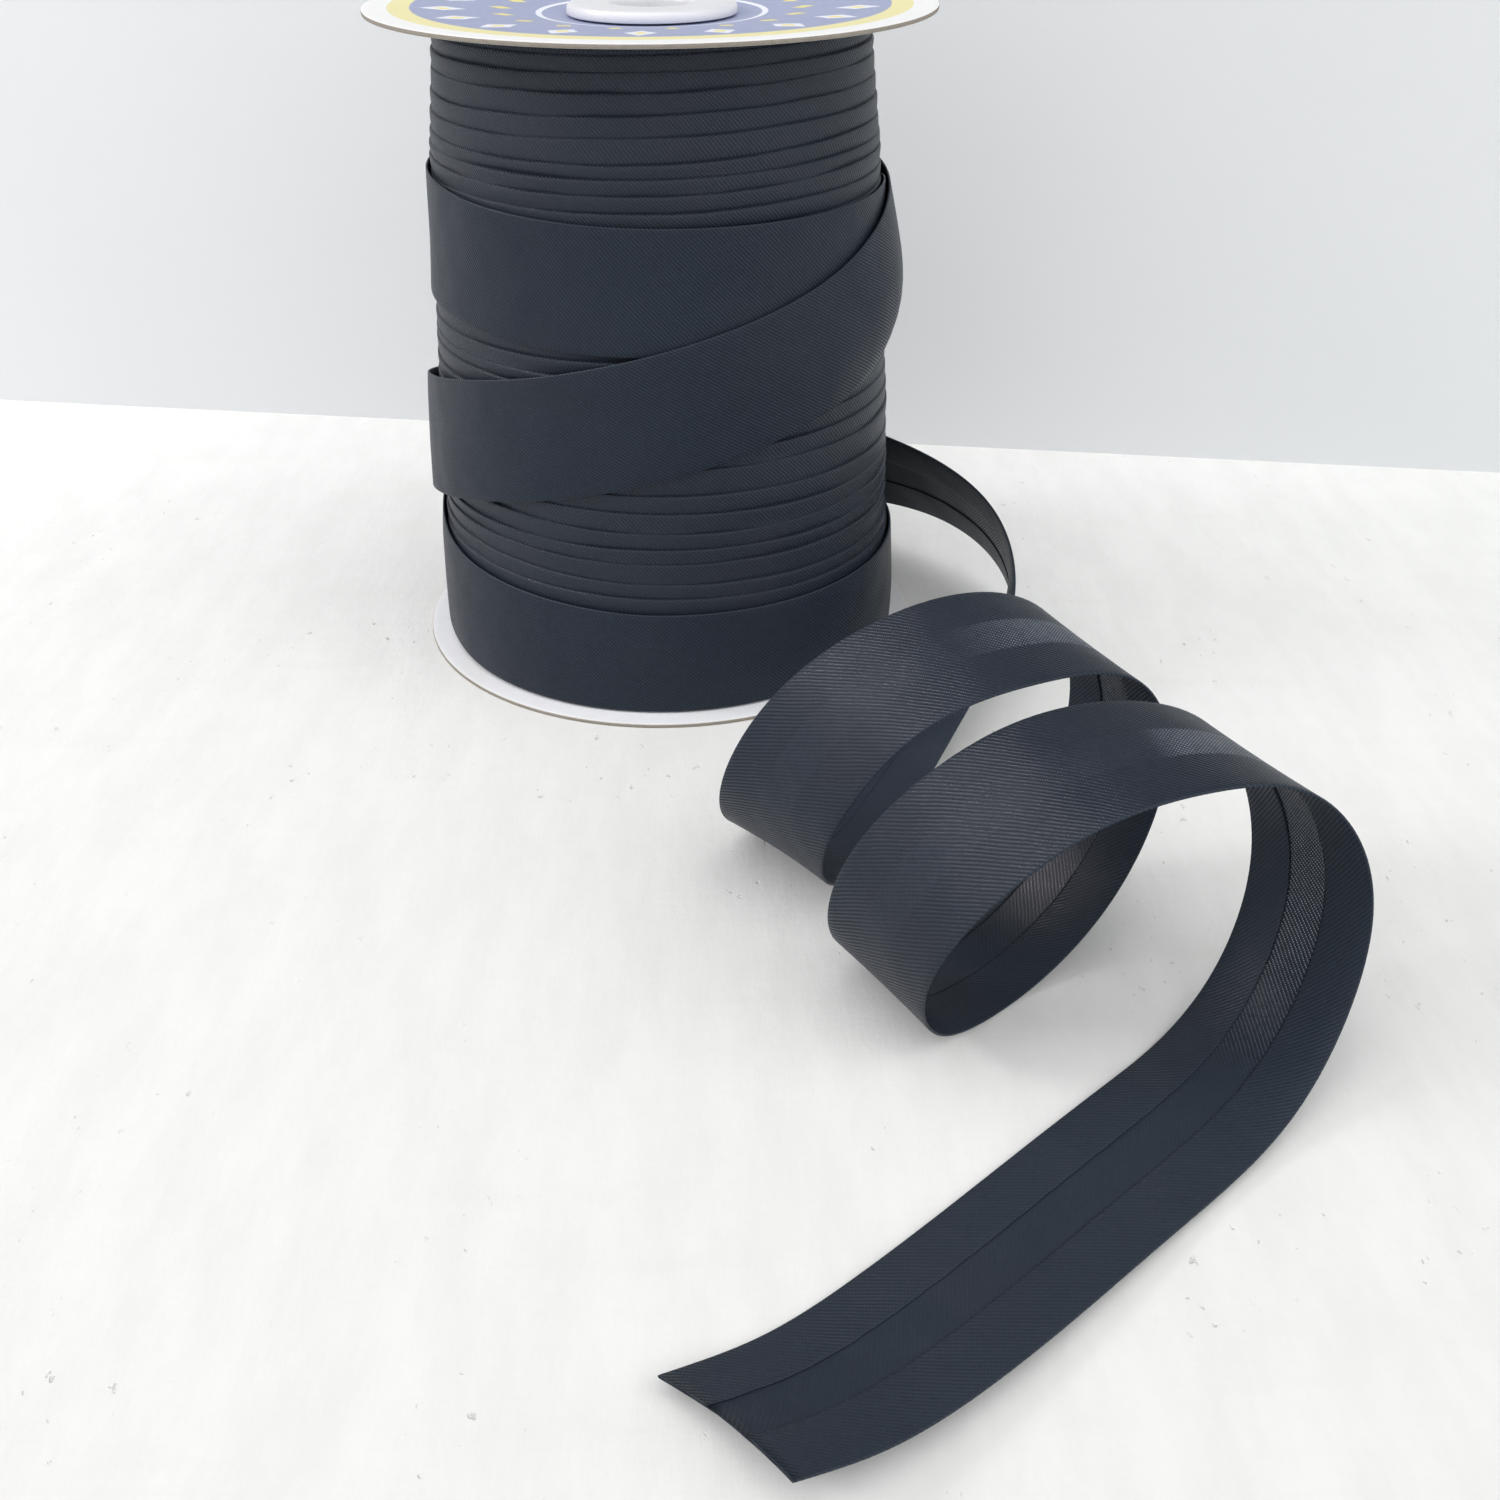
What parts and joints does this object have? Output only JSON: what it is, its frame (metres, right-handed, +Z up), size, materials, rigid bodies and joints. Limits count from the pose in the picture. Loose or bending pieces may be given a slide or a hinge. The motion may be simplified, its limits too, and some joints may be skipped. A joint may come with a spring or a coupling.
{
  "type": "roll of bias binding on a flanged reel",
  "caption": "Folded satin bias binding wound on a plain flanged reel, its loose end looped in two hoops and laid out flat in front.",
  "frame": {"origin": "centre of the bounding box in plan, on the surface that the reel stands on", "axes": "+Z up along the reel's axis; the loose end runs out towards -Y; +X to the right seen from the loose end"},
  "size_m": [0.1698, 0.2972, 0.1342],
  "materials": {
    "flange_card": "white coated card, matt",
    "hub_plastic": "white moulded plastic, semi-gloss",
    "binding_satin": "very dark blue-grey satin cut on the bias, folded edges"
  },
  "bodies": {
    "root": {"reel_flange_bottom": "flange_card", "reel_flange_top": "flange_card", "reel_hub": "hub_plastic", "binding_roll": "binding_satin", "binding_loose_end": "binding_satin"}
  },
  "joints": []
}
